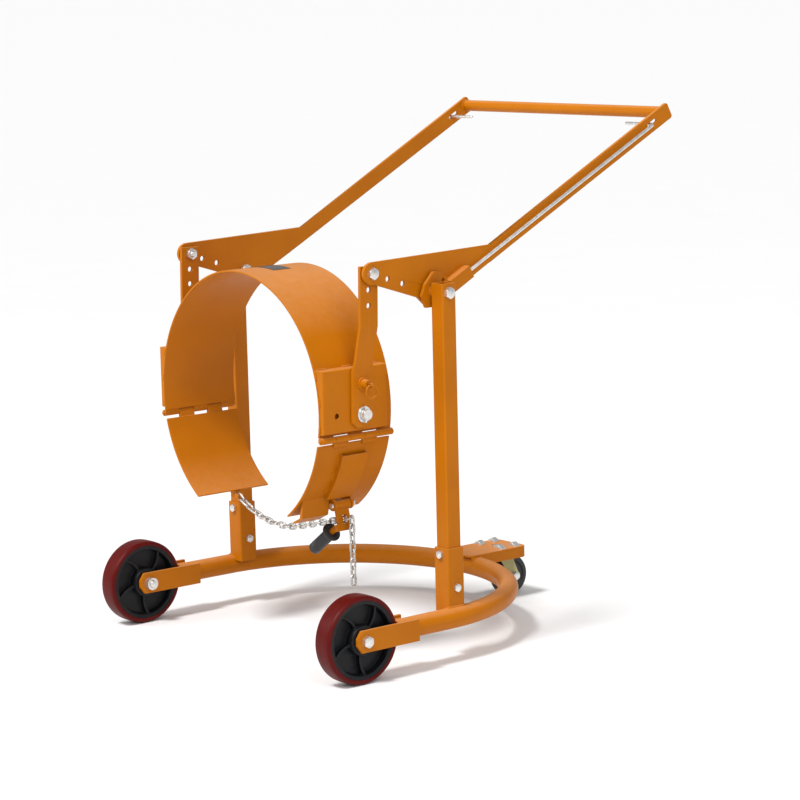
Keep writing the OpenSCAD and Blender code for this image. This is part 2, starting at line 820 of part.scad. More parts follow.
module saddle_band() {
    low = drum_axis_z - band_low_z;
    color(ORANGE) from_axle() difference() {
        rod_y_axis(band_mid_y - band_w / 2, band_w, 2 * (drum_r + shell_t), 0, drum_axis_z);
        rod_y_axis(band_mid_y - band_w, 2 * band_w, 2 * drum_r, 0, drum_axis_z);
        translate([-400, -200, drum_axis_z - low - 400]) cube([800, 600, 400]);
    }
}

// A folded box on the band that carries the trunnion, open where it meets the band.
module trunnion_box(side) {
    length = box_y[1] - box_y[0];
    height = box_z[1] - box_z[0];
    depth = 42;
    color(ORANGE) from_axle() on_side(side) difference() {
        translate([box_face_x - depth, box_y[0], box_z[0]]) cube([depth, length, height]);
        translate([box_face_x - depth - box_wall, box_y[0] + box_wall, box_z[0] + box_wall])
            cube([depth, length - 2 * box_wall, height - 2 * box_wall]);
        rod_y_axis(-100, 400, 2 * (drum_r + shell_t), 0, drum_axis_z);
        rod_x_axis(250, 100, trunnion_d + 2 * slip, trunnion_y, trunnion_z);
        for (turn = [0, 90])
            translate([0, trunnion_y, trunnion_z]) rotate([link_lean + turn, 0, 0])
                rod_x_axis(box_face_x - 12, 20, index_hole_d, 0, index_r);
    }
}

module trunnion_pins() {
    washer_x = strap_low_x + strap_t + gap;
    color(ZINC) from_axle() both_sides() {
        difference() {
            rod_x_axis(drum_r + shell_t + gap, 36, trunnion_d, trunnion_y, trunnion_z);
            translate([washer_x + 8, trunnion_y, trunnion_z - 20]) cylinder(h = 40, d = 5);
        }
        translate([washer_x, trunnion_y, trunnion_z]) rotate([0, 90, 0])
            washer(37, trunnion_d + 2 * slip, 4);
        translate([washer_x + 8, trunnion_y, trunnion_z - 19]) cylinder(h = 38, d = 4);
    }
}

// Three knuckles of each hinge belong to the saddle, two to the wing.
module knuckle(index) {
    y = band_mid_y - band_w / 2 + index * knuckle_len;
    difference() {
        union() {
            rod_y_axis(y + gap / 2, knuckle_len - gap, 2 * knuckle_r, hinge_x, hinge_z);
            children();
        }
        rod_y_axis(y - 1, knuckle_len + 2, hinge_rod_d + 2 * run, hinge_x, hinge_z);
        rod_y_axis(y - 1, knuckle_len + 2, 2 * (drum_r + shell_t / 2), 0, drum_axis_z);
    }
}

module hinge_rods() {
    color(ORANGE) from_axle() both_sides() {
        rod_y_axis(band_mid_y - band_w / 2 - 3, band_w + 6, hinge_rod_d, hinge_x, hinge_z);
        for (index = [0, 2, 4]) knuckle(index)
            translate([hinge_x - 12, band_mid_y - band_w / 2 + index * knuckle_len + gap / 2,
                       hinge_z])
                cube([11, knuckle_len - gap, band_low_z - hinge_z - eps]);
    }
}

module rating_plate() {
    color(IRON) from_axle() difference() {
        rod_y_axis(band_mid_y - 25, 50, 2 * (drum_r + shell_t + 1), 0, drum_axis_z);
        rod_y_axis(band_mid_y - 50, 100, 2 * (drum_r + shell_t), 0, drum_axis_z);
        for (side = [-1, 1]) translate([side * 245 - 200, 0, 0]) cube([400, 300, 1200]);
        translate([-400, 0, 0]) cube([800, 300, drum_axis_z]);
    }
}

// ---------------------------------------------------------------- wings

module wing_shell() {
    about_drum(wing_start, wing_end)
        translate([drum_r, band_mid_y - band_w / 2]) square([shell_t, band_w]);
    for (index = [1, 3]) knuckle(index) {
        y = band_mid_y - band_w / 2 + index * knuckle_len + gap / 2;
        translate([hinge_x - 16, y, hinge_z - 18]) cube([14, knuckle_len - gap, 18]);
    }
}

module wing(side) {
    color(ORANGE) from_axle() on_side(side) union() wing_shell();
}

module wing_rib(side) {
    out = drum_r + shell_t;
    color(ORANGE) from_axle() on_side(side) about_drum(wing_start + 5, wing_end - 13)
        difference() {
            translate([out, rib_y[0]]) square([rib_h, rib_y[1] - rib_y[0]]);
            translate([out - 1, rib_y[0] + rib_t])
                square([rib_h - rib_t + 1, rib_y[1] - rib_y[0] - 2 * rib_t]);
        }
}

// A point at a radius from the drum's axis, that many degrees below its level, in (X, Z).
function polar(r, angle) = [r * cos(angle), drum_axis_z - r * sin(angle)];

// A folded lip across the foot of the wing, with two ears for the tightener.
module tightener_bracket() {
    out = drum_r + shell_t;
    ear_r = 13;
    color(ORANGE) from_axle() {
        plate_xz(14, 90) difference() {
            polygon([polar(out - 2, 42), polar(out + 26, 49), polar(out + 18, 55.5),
                     polar(out + 14, 55), polar(out + 20, 50.2), polar(out - 2, 44)]);
            translate([0, drum_axis_z]) circle(r = out, $fn = 180);
        }
        for (y = [93, 141]) plate_xz(y, y + 5) difference() {
            translate([tight_pivot_x, tight_pivot_z]) rotate(-45) union() {
                circle(r = ear_r);
                translate([-30, -ear_r]) square([30, 2 * ear_r]);
            }
            translate([tight_pivot_x, tight_pivot_z]) circle(d = tight_pivot_d + 2 * slip);
            translate([0, drum_axis_z]) circle(r = out, $fn = 180);
        }
    }
}

module tightener_pin() {
    color(ZINC) from_axle() {
        translate([tight_pivot_x, 146, tight_pivot_z]) rotate([90, 0, 0])
            hex_bolt(tight_pivot_d, 58, 19, 7);
    }
}

// A lug on the far wing with a pin through the chain's last link.
module chain_anchor() {
    out = drum_r + shell_t;
    pin = link_place(last_far, 7.2);
    color(ORANGE) from_axle() {
        for (y = [hook_y - 9, hook_y + 5]) difference() {
            plate_xz(y, y + 4) union() {
                translate([pin[0], pin[1]]) circle(r = 6);
                mirror([1, 0]) translate([0, drum_axis_z]) rotate(-wing_end)
                    translate([out - 2, -2]) square([14, 8]);
                polygon([[pin[0] - 4, pin[1] + 4.4], [pin[0] + 2, pin[1] - 6],
                         [-184, 324], [-188, 336]]);
            }
            rod_y_axis(-10, 300, 2 * out, 0, drum_axis_z);
        }
        rod_y_axis(hook_y - 9, 18, 4, pin[0], pin[1]);
    }
}

// ---------------------------------------------------------------- tightener lever

// Moves to the foot of the grip's rod, pointing along it.
module at_grip_rod() {
    translate([rod_foot_x, grip_y, rod_foot_z]) rotate([0, -90 - grip_angle, 0]) children();
}

// A barrel on the pin, a hook plate square to the chain, and the rod that carries the grip.
module tightener_lever() {
    foot = hook_drop + 26;
    color(ORANGE) from_axle() difference() {
        union() {
            rod_y_axis(98.5, 42, 2 * barrel_r, tight_pivot_x, tight_pivot_z);
            translate([tight_pivot_x, 0, tight_pivot_z]) rotate([0, -chain_lead, 0]) {
                translate([-hook_t / 2, 100, -foot]) cube([hook_t, 36, foot - 4]);
                translate([-hook_t / 2, 92, -foot]) cube([hook_t, 44, 16]);
            }
            at_grip_rod() cylinder(h = grip_start + 50, d = lever_rod_d);
        }
        rod_y_axis(90, 60, tight_pivot_d + 2 * run, tight_pivot_x, tight_pivot_z);
        translate([hook_x, hook_y, hook_z]) rotate([0, -chain_lead, 0])
            translate([-20, -slot_w / 2, -9]) cube([40, slot_w, 19]);
    }
}

module tightener_grip() {
    color(RUBBER) from_axle() at_grip_rod() translate([0, 0, grip_start]) difference() {
        union() {
            cylinder(h = 5, r = grip_flange_r);
            cylinder(h = grip_len, r = grip_r);
        }
        translate([0, 0, -1]) cylinder(h = 51, d = lever_rod_d);
    }
}

// ---------------------------------------------------------------- chain

// One link in its own frame: long axis X, lying flat in the X-Y plane.
module chain_link() {
    half = chain_pitch / 2 + chain_wire / 2 - link_r;
    union() {
        for (end = [0, 180]) rotate(end) translate([half, 0, 0]) rotate(-90)
            rotate_extrude(angle = 180, $fn = 48) translate([link_r, 0])
                circle(d = chain_wire, $fn = 20);
        for (y = [-link_r, link_r]) translate([-half - eps, y, 0]) rotate([0, 90, 0])
            cylinder(h = 2 * half + 2 * eps, d = chain_wire, $fn = 20);
    }
}

// Where link number k of the span lies: [x, z, tangent angle]. Number 0 sits in the hook's slot,
// higher numbers run under the drum, first straight and then round it. extra moves it on.
function link_place(k, extra = 0) =
    let (s = k * chain_step + (k > last_near ? chain_break : 0) + extra,
         round_part = max(s - chain_straight, 0) / chain_r * 180 / PI,
         a = chain_lead - round_part)
    s < chain_straight
        ? [hook_x - s * cos(chain_lead), hook_z - s * sin(chain_lead), chain_lead]
        : [chain_r * sin(a), drum_axis_z - chain_r * cos(a), a];

module placed_link(k) {
    at = link_place(k);
    translate([at[0], hook_y, at[1]]) rotate([0, -at[2], 0])
        rotate([k % 2 == 0 ? 90 : 0, 0, 0]) chain_link();
}

module chain_near_half() {
    color(ZINC) from_axle() for (k = [-1 : last_near]) placed_link(k);
}

module chain_far_half() {
    color(ZINC) from_axle() for (k = [last_near + 1 : last_far]) placed_link(k);
}

// The tail hangs from the outer end of link -1.
tail_x = hook_x + (chain_step + chain_pitch / 2 + chain_wire / 2) * cos(chain_lead);
tail_z = hook_z + (chain_step + chain_pitch / 2 + chain_wire / 2) * sin(chain_lead)
       + chain_wire + chain_gap - chain_pitch / 2 - chain_wire / 2;

module tail_link(k) {
    translate([tail_x, hook_y, tail_z - k * chain_step])
        rotate([0, 90, 0]) rotate([k % 2 == 0 ? 90 : 0, 0, 0]) chain_link();
}

module chain_tail_top() {
    color(ZINC) from_axle() tail_link(0);
}

module chain_tail() {
    color(ZINC) from_axle() for (k = [1 : tail_links - 1]) tail_link(k);
}

// ---------------------------------------------------------------- assembly

base_tube();
fork_plates(LEFT);  // left_fork_plates
fork_plates(RIGHT);  // right_fork_plates
axle_bolts();
post_socket(LEFT);  // left_post_socket
post_socket(RIGHT);  // right_post_socket
post(LEFT);  // left_post
post(RIGHT);  // right_post
socket_bolts();
lock_sector(LEFT);  // left_lock_sector
lock_sector(RIGHT);  // right_lock_sector
pivot_bolts();
caster_bracket();
caster_plate();
caster_bolts();
wheel_hub(LEFT);  // left_wheel_hub
tyre(LEFT);  // left_tyre
wheel_bush(LEFT);  // left_wheel_bush
wheel_hub(RIGHT);  // right_wheel_hub
tyre(RIGHT);  // right_tyre
wheel_bush(RIGHT);  // right_wheel_bush
caster_fork();
caster_kingpin();
caster_axle();
caster_tyre();
caster_bush();
lever_plate(LEFT);  // left_lever_plate
lever_plate(RIGHT);  // right_lever_plate
handle_tube();
rod_guide(LEFT);  // left_rod_guide
rod_guide(RIGHT);  // right_rod_guide
front_bolts();
rod_spring(LEFT);  // left_rod_spring
rod_spring(RIGHT);  // right_rod_spring
lock_rod(LEFT);  // left_lock_rod
lock_rod(RIGHT);  // right_lock_rod
link(LEFT);  // left_link
link(RIGHT);  // right_link
lock_housing();
tilt_lock_pin();
pull_ring();
saddle_band();
trunnion_box(LEFT);  // left_trunnion_box
trunnion_box(RIGHT);  // right_trunnion_box
trunnion_pins();
hinge_rods();
rating_plate();
wing(LEFT);  // left_wing
wing_rib(LEFT);  // left_wing_rib
tightener_bracket();
tightener_pin();
wing(RIGHT);  // right_wing
wing_rib(RIGHT);  // right_wing_rib
chain_anchor();
tightener_lever();
tightener_grip();
chain_near_half();
chain_far_half();
chain_tail_top();
chain_tail();
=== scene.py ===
"""The looks of a lever-lift drum carrier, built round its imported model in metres.

The front of the carrier faces -Y, the operator's left is +X, and the floor is at zero height.
"""

import json
import math

import bmesh
import bpy
import numpy as np
from mathutils import Matrix, Vector, noise


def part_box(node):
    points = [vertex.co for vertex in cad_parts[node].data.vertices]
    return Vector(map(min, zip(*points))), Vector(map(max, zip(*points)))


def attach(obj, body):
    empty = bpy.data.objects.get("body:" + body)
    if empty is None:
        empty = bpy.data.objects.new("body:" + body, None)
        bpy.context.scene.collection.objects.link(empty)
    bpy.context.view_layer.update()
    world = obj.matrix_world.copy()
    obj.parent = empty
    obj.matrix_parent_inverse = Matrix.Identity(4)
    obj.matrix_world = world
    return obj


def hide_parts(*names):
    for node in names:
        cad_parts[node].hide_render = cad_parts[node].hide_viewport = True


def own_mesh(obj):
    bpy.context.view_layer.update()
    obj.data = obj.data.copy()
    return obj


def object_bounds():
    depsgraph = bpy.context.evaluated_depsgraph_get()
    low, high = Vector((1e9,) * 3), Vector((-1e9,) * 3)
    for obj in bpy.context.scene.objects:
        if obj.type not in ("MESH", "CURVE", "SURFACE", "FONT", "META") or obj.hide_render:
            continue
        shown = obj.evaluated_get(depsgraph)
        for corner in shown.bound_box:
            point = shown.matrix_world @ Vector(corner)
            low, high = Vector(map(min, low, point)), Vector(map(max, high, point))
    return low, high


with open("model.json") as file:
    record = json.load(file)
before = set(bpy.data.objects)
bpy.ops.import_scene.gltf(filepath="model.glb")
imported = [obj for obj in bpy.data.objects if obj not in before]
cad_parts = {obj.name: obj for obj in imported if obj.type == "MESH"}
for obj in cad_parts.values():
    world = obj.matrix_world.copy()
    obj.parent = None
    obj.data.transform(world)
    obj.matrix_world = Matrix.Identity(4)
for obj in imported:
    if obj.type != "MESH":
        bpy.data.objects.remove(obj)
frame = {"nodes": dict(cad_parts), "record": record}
cad_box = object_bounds()

MM = 0.001
BODY_OF = {node: body for body, nodes in frame["record"]["behaviour"]["bodies"].items() for node in nodes}
SLOT_OF = {part["node"]: part["material_slot"] for part in frame["record"]["subparts"]}


def low(node):
    return Vector(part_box(node)[0])


def high(node):
    return Vector(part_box(node)[1])


def middle(node):
    return (low(node) + high(node)) / 2


# ------------------------------------------------------------------ finishes


class Value:
    """One output of a node. Sums written on it add Math nodes."""

    def __init__(self, finish, socket):
        self.finish = finish
        self.socket = socket

    def maths(self, operation, first, second):
        return self.finish.add("ShaderNodeMath", {"operation": operation}, {0: first, 1: second})

    def __add__(self, other):
        return self.maths("ADD", self, other)

    def __sub__(self, other):
        return self.maths("SUBTRACT", self, other)

    def __rsub__(self, other):
        return self.maths("SUBTRACT", other, self)

    def __mul__(self, other):
        return self.maths("MULTIPLY", self, other)

    def __gt__(self, other):
        return self.maths("GREATER_THAN", self, other)

    def __pow__(self, other):
        return self.maths("POWER", self, other)

    __radd__ = __add__
    __rmul__ = __mul__


class Finish:
    """One procedural material, laid node by node."""

    def __init__(self, name):
        self.material = bpy.data.materials.new(name)
        self.material.use_nodes = True
        self.tree = self.material.node_tree
        self.tree.nodes.clear()

    def add(self, kind, settings=None, inputs=None, output=0):
        """Adds a node, sets its settings and then its inputs, and gives back one output."""
        node = self.tree.nodes.new(kind)
        for key, value in (settings or {}).items():
            if key == "stops":
                self.set_stops(node.color_ramp, value)
            else:
                setattr(node, key, value)
        for key, value in (inputs or {}).items():
            if isinstance(value, Value):
                self.tree.links.new(value.socket, node.inputs[key])
            else:
                node.inputs[key].default_value = value
        return Value(self, node.outputs[output])

    def set_stops(self, ramp, stops):
        while len(ramp.elements) < len(stops):
            ramp.elements.new(0.5)
        for element, (position, level) in zip(ramp.elements, stops):
            element.position = position
            element.color = (level, level, level, 1)

    def place(self):
        return self.add("ShaderNodeTexCoord", output="Object")

    def stretched(self, scale):
        """The place on the piece, stretched by a factor along each axis."""
        return self.add("ShaderNodeVectorMath", {"operation": "MULTIPLY"}, {0: self.place(), 1: scale})

    def cloud(self, scale, detail=2.0, where=None, roughness=0.5):
        inputs = {"Vector": where or self.place(), "Scale": scale, "Detail": detail,
                  "Roughness": roughness}
        return self.add("ShaderNodeTexNoise", {}, inputs)

    def pits(self, scale):
        return self.add("ShaderNodeTexVoronoi", {}, {"Vector": self.place(), "Scale": scale})

    def ramp(self, value, *stops):
        return self.add("ShaderNodeValToRGB", {"stops": stops}, {0: value})

    def mix(self, factor, first, second):
        inputs = {0: factor, 6: paint(first), 7: paint(second)}
        return self.add("ShaderNodeMix", {"data_type": "RGBA"}, inputs, output=2)

    def facing_up(self):
        normal = self.add("ShaderNodeNewGeometry", output="Normal")
        return self.ramp(self.add("ShaderNodeSeparateXYZ", {}, {0: normal}, output=2), (0.55, 0), (0.95, 1))

    def edges(self, width):
        """1 along sharp edges and 0 on the flats."""
        rounded = self.add("ShaderNodeBevel", {"samples": 4}, {"Radius": width})
        flat = self.add("ShaderNodeNewGeometry", output="Normal")
        along = self.add("ShaderNodeVectorMath", {"operation": "DOT_PRODUCT"}, {0: rounded, 1: flat},
                         output="Value")
        return self.ramp(along, (0.80, 1), (0.985, 0))

    def bump(self, height, strength, depth, under=None):
        inputs = {"Strength": strength, "Distance": depth, "Height": height}
        if under is not None:
            inputs["Normal"] = under
        return self.add("ShaderNodeBump", {}, inputs)

    def done(self, **inputs):
        """Wires the shader; a name's underscores stand for the spaces in the socket's name."""
        sockets = {key.replace("_", " "): paint(value) for key, value in inputs.items()}
        shader = self.add("ShaderNodeBsdfPrincipled", {}, sockets)
        end = self.tree.nodes.new("ShaderNodeOutputMaterial")
        self.tree.links.new(shader.socket, end.inputs["Surface"])
        return self.material


def paint(value):
    """A colour of three numbers as the four that a socket takes."""
    return (*value, 1) if isinstance(value, tuple) and len(value) == 3 else value


def orange_paint():
    """Gloss powder coat: orange peel, slow changes of tone, thin paint and a painted highlight on the
    edges, a painted highlight on upward faces, dust on top.
    """
    f = Finish("orange_powder_coat")
    tone = f.ramp(f.cloud(7, 4), (0.32, 0), (0.70, 1))
    colour = f.mix(tone, (0.43, 0.126, 0.0010), (0.49, 0.147, 0.0014))
    grime = f.ramp(f.cloud(28, 6, roughness=0.65), (0.56, 0), (0.74, 1))
    colour = f.mix(grime * 0.16, colour, (0.34, 0.10, 0.012))
    edge = f.edges(1.6 * MM)
    # Painted highlight along the edges, partly the thin paint there: the edges are mixed towards a light
    # orange.
    colour = f.mix(edge * 0.40, colour, (0.66, 0.24, 0.02))
    chips = edge * (f.cloud(210, 3) > 0.63)
    colour = f.mix(chips * 0.55, colour, (0.30, 0.25, 0.20))
    dust = f.facing_up() * f.ramp(f.cloud(60, 5), (0.35, 0), (0.80, 1))
    # Painted highlight: faces that look upward are mixed towards a pale orange, as if lit from above.
    colour = f.mix(f.facing_up() * 0.30, colour, (0.80, 0.36, 0.13))
    colour = f.mix(dust * 0.14, colour, (0.62, 0.44, 0.30))
    scuffs = f.ramp(f.cloud(9, 5, f.stretched((14, 3, 40))), (0.60, 0), (0.72, 1))
    rough = 0.36 + 0.10 * f.cloud(45, 3) + 0.20 * dust + 0.12 * scuffs
    sheet = f.bump(f.cloud(26, 2), 0.30, 0.6 * MM)
    peel = f.bump(f.cloud(520, 1), 0.22, 0.12 * MM, sheet)
    return f.done(Base_Color=colour, Roughness=rough, Normal=peel, Coat_Weight=0.04, Coat_Roughness=0.15,
                  Specular_IOR_Level=0.10)


def zinc_plate():
    """Bright zinc on bolts, rods and bushes, clouded by handling."""
    f = Finish("bright_zinc_plate")
    haze = f.cloud(130, 5)
    colour = f.mix(f.ramp(haze, (0.35, 0), (0.70, 1)), (0.66, 0.655, 0.64), (0.84, 0.83, 0.80))
    stain = f.ramp(f.cloud(420, 3), (0.60, 0), (0.75, 1))
    colour = f.mix(stain * 0.35, colour, (0.42, 0.37, 0.30))
    lines = f.bump(f.cloud(300, 2, f.stretched((1, 6, 6))), 0.12, 0.08 * MM)
    return f.done(Base_Color=colour, Metallic=0.92, Roughness=0.24 + 0.20 * haze, Normal=lines)


def chain_plate():
    """Duller zinc on the welded chain, worn bright on its rounds and grey between."""
    f = Finish("chain_zinc_plate")
    haze = f.cloud(240, 5)
    colour = f.mix(f.ramp(haze, (0.35, 0), (0.68, 1)), (0.36, 0.35, 0.33), (0.78, 0.76, 0.72))
    colour = f.mix(f.edges(1.0 * MM) * 0.3, colour, (0.85, 0.84, 0.80))
    return f.done(Base_Color=colour, Metallic=0.9, Roughness=0.30 + 0.25 * haze,
                  Normal=f.bump(f.cloud(700, 2), 0.2, 0.1 * MM))


def black_iron():
    """Black enamel over the sand texture of a cast hub, greyed in blotches by road dust, with a painted
    highlight along its edges.
    """
    f = Finish("black_cast_iron")
    sand = f.cloud(650, 3, roughness=0.7)
    blotch = f.ramp(f.cloud(35, 5), (0.45, 0), (0.75, 1))
    colour = f.mix(blotch * 0.5, (0.004, 0.0045, 0.006), (0.013, 0.014, 0.016))
    # Painted highlight: the edges of the ribs are mixed towards grey.
    colour = f.mix(f.edges(1.5 * MM) * 0.30, colour, (0.16, 0.16, 0.17))
    cast = f.bump(f.cloud(70, 3), 0.35, 0.7 * MM)
    return f.done(Base_Color=colour, Roughness=0.34 + 0.25 * sand,
                  Normal=f.bump(sand, 0.4, 0.25 * MM, cast),
                  Specular_IOR_Level=0.25)


def red_tread():
    """Cast polyurethane: deep red, satin, with fine scuffs round the running face and a painted highlight
    along its shoulders.
    """
    f = Finish("red_polyurethane")
    tone = f.cloud(22, 4)
    colour = f.mix(tone, (0.070, 0.0020, 0.0012), (0.105, 0.0036, 0.0024))
    round_scuffs = f.ramp(f.cloud(1, 4, f.stretched((420, 14, 14))), (0.52, 0), (0.70, 1))
    colour = f.mix(round_scuffs * 0.15, colour, (0.20, 0.03, 0.025))
    # Painted highlight: the edges of the tread are mixed towards a lighter red.
    colour = f.mix(f.edges(2.5 * MM) * 0.30, colour, (0.24, 0.045, 0.04))
    specks = f.cloud(380, 2) > 0.70
    colour = f.mix(specks * 0.12, colour, (0.16, 0.10, 0.08))
    return f.done(Base_Color=colour, Roughness=0.36 + 0.22 * round_scuffs + 0.08 * tone,
                  Normal=f.bump(f.cloud(260, 3), 0.15, 0.2 * MM), Specular_IOR_Level=0.12)


def black_rubber(name, grain):
    """Black rubber with a moulded grain and a grey bloom."""
    f = Finish(name)
    bloom = f.ramp(f.cloud(50, 5), (0.45, 0), (0.80, 1))
    colour = f.mix(bloom * 0.5, (0.008, 0.008, 0.009), (0.035, 0.034, 0.033))
    return f.done(Base_Color=colour, Roughness=0.40 + 0.22 * bloom,
                  Normal=f.bump(f.pits(grain), 0.18, 0.2 * MM))


def passivated_steel():
    """Yellow-passivated pressing: straw and olive with a faint rainbow."""
    f = Finish("yellow_passivated_steel")
    drift = f.cloud(24, 4)
    colour = f.mix(f.ramp(drift, (0.38, 0), (0.62, 1)), (0.30, 0.26, 0.12), (0.46, 0.42, 0.22))
    tint = f.ramp(f.cloud(55, 3), (0.55, 0), (0.72, 1))
    colour = f.mix(tint * 0.4, colour, (0.30, 0.34, 0.30))
    return f.done(Base_Color=colour, Metallic=0.85, Roughness=0.30 + 0.25 * f.cloud(180, 4),
                  Normal=f.bump(f.cloud(320, 2), 0.15, 0.1 * MM))


def blank_label():
    """A dark film label with a fine pale border and nothing printed on it."""
    f = Finish("blank_label_film")
    split = f.add("ShaderNodeSeparateXYZ", {}, {0: f.place()}, output=0)
    along = f.add("ShaderNodeSeparateXYZ", {}, {0: f.place()}, output=1)
    centre, size = middle("rating_plate"), high("rating_plate") - low("rating_plate")

    def off(value, where):
        return f.add("ShaderNodeMath", {"operation": "ABSOLUTE"}, {0: value - where})

    inset = 3 * MM
    x_off = off(split, centre.x)
    y_off = off(along, centre.y)
    outer = f.add("ShaderNodeMath", {"operation": "MAXIMUM"},
                  {0: x_off - size.x / 2 + inset, 1: y_off - size.y / 2 + inset})
    border = f.add("ShaderNodeMath", {"operation": "ABSOLUTE"}, {0: outer}) * -1 > -0.6 * MM
    colour = f.mix(f.cloud(90, 3), (0.012, 0.011, 0.011), (0.028, 0.025, 0.023))
    colour = f.mix(border * 0.6, colour, (0.32, 0.22, 0.10))
    return f.done(Base_Color=colour, Roughness=0.35 + 0.15 * f.cloud(160, 3), Coat_Weight=0.4)


FINISH = {
    "orange_paint": orange_paint(),
    "zinc": zinc_plate(),
    "chain_zinc": chain_plate(),
    "black_iron": black_iron(),
    "red_tread": red_tread(),
    "caster_rubber": black_rubber("caster_rubber_tread", 900),
    "grip_rubber": black_rubber("dipped_grip_vinyl", 1400),
    "passivated_steel": passivated_steel(),
    "label_black": blank_label(),
}

for node, mesh_object in frame["nodes"].items():
    mesh_object.data.materials.clear()
    mesh_object.data.materials.append(FINISH[SLOT_OF[node]])


# ------------------------------------------------------------------ making pieces


def piece_from(name, bm, body, slot, stands_for=(), sharp=38):
    """Turns a bmesh into a piece that rides on a body; stands_for are the CAD nodes it replaces."""
    mesh = bpy.data.meshes.new(name)
    bmesh.ops.recalc_face_normals(bm, faces=bm.faces)
    bm.to_mesh(mesh)
    bm.free()
    mesh.polygons.foreach_set("use_smooth", [True] * len(mesh.polygons))
    mesh.set_sharp_from_angle(angle=math.radians(sharp))
    mesh.materials.append(FINISH[slot])
    piece = bpy.data.objects.new(name, mesh)
    bpy.context.scene.collection.objects.link(piece)
    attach(piece, body)
    if stands_for:
        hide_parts(*stands_for)
    return piece


def cad_copy(node):
    """The CAD node's mesh with its triangles joined back into whole faces."""
    bm = bmesh.new()
    bm.from_mesh(frame["nodes"][node].data)
    bmesh.ops.remove_doubles(bm, verts=bm.verts, dist=0.002 * MM)
    bmesh.ops.dissolve_limit(bm, angle_limit=0.01, verts=bm.verts, edges=bm.edges)
    return bm


def round_over(piece, width, segments=2, angle=35):
    bevel = piece.modifiers.new("rounded_edges", "BEVEL")
    bevel.width = width
    bevel.segments = segments
    bevel.limit_method = "ANGLE"
    bevel.angle_limit = math.radians(angle)
    bevel.use_clamp_overlap = False
    bevel.harden_normals = True
    return piece


def softened(node, width=0.8 * MM, segments=2):
    """Stands for a CAD node with its sharp edges rounded over, as cut and painted steel has them."""
    piece = piece_from(node + "_finished", cad_copy(node), BODY_OF[node], SLOT_OF[node], [node])
    return round_over(piece, width, segments)


def sweep(bm, path, radius, sides=10, closed=False):
    """Adds a round tube along a path of points; radius is a number or a function of the point's number."""
    count = len(path)
    size = radius if callable(radius) else lambda number: radius
    rings, normal = [], None
    for number, point in enumerate(path):
        ahead = path[(number + 1) % count] if closed or number < count - 1 else point
        behind = path[number - 1] if closed or number > 0 else point
        along = (ahead - behind).normalized()
        if normal is None:
            normal = along.orthogonal().normalized()
        normal = (normal - along * normal.dot(along)).normalized()
        side = along.cross(normal)
        turns = [2 * math.pi * k / sides for k in range(sides)]
        rings.append([bm.verts.new(point + size(number) * (math.cos(t) * normal + math.sin(t) * side))
                      for t in turns])
    pairs = list(zip(rings, rings[1:] + ([rings[0]] if closed else [])))
    if closed:
        shift = min(range(sides), key=lambda k: (rings[0][k].co - rings[-1][0].co).length)
        pairs[-1] = (rings[-1], rings[0][shift:] + rings[0][:shift])
    for first, second in pairs:
        for k in range(sides):
            bm.faces.new((first[k], first[(k + 1) % sides], second[(k + 1) % sides], second[k]))
    if not closed:
        bm.faces.new(rings[0])
        bm.faces.new(rings[-1])


def lathe(bm, profile, stand, segments=72, outline=None):
    """Turns a closed ring of (radius, along) points about the Z axis of the stand matrix.

    outline(turn, radius, along) may move a point, which makes hexagons and knurls."""
    rings = []
    for number in range(segments):
        turn = 2 * math.pi * number / segments
        ring = []
        for radius, along in profile:
            if outline is not None:
                radius, along = outline(turn, radius, along)
            around = Vector((radius * math.cos(turn), radius * math.sin(turn), along))
            ring.append(bm.verts.new(stand @ around))
        rings.append(ring)
    count = len(profile)
    for first, second in zip(rings, rings[1:] + rings[:1]):
        for k in range(count):
            corners = (first[k], first[(k + 1) % count], second[(k + 1) % count], second[k])
            bm.faces.new(corners)
    bmesh.ops.remove_doubles(bm, verts=bm.verts, dist=0.001 * MM)


def filleted(corners, radius, steps=5):
    """A closed outline with each corner rounded to a radius, or to its own in a list."""
    points = []
    count = len(corners)
    for number, corner in enumerate(corners):
        r = radius[number] if isinstance(radius, (list, tuple)) else radius
        here = Vector(corner)
        before, after = Vector(corners[number - 1]) - here, Vector(corners[(number + 1) % count]) - here
        if r <= 0:
            points.append(here)
            continue
        half = before.angle(after) / 2
        reach = min(r / math.tan(half), before.length * 0.49, after.length * 0.49)
        start, end = here + before.normalized() * reach, here + after.normalized() * reach
        for step in range(steps + 1):
            t = step / steps
            points.append((1 - t) ** 2 * start + 2 * t * (1 - t) * here + t ** 2 * end)
    return [tuple(point) for point in points]


def stand_at(place, axis):
    """A matrix whose Z axis points along axis from place."""
    return Matrix.Translation(place) @ Vector(axis).to_track_quat("Z", "Y").to_matrix().to_4x4()


# ------------------------------------------------------------------ reading the frame


def loose_parts(node):
    """The separate solids of a CAD node, each as an array of its corner points."""
    bm = cad_copy(node)
    left, parts = set(bm.verts), []
    while left:
        stack, part = [left.pop()], []
        while stack:
            vert = stack.pop()
            part.append(tuple(vert.co))
            for edge in vert.link_edges:
                other = edge.other_vert(vert)
                if other in left:
                    left.remove(other)
                    stack.append(other)
        parts.append(np.array(part))
    bm.free()
    return parts


# ------------------------------------------------------------------ bolts, nuts and washers

THREAD = 1.75 * MM


def hexagon(flats, height, both_ends):
    """An outline for lathe: turns a wide profile into a hexagon with the corners chamfered off."""
    def outline(turn, radius, along):
        if radius < flats / 2:
            return radius, along
        lean = (turn + math.pi / 6) % (math.pi / 3) - math.pi / 6
        out = flats / 2 / math.cos(lean)
        drop = (out - 0.475 * flats) * 0.55
        if along > height / 2:
            return out, height - drop
        return out, drop if both_ends else along
    return outline


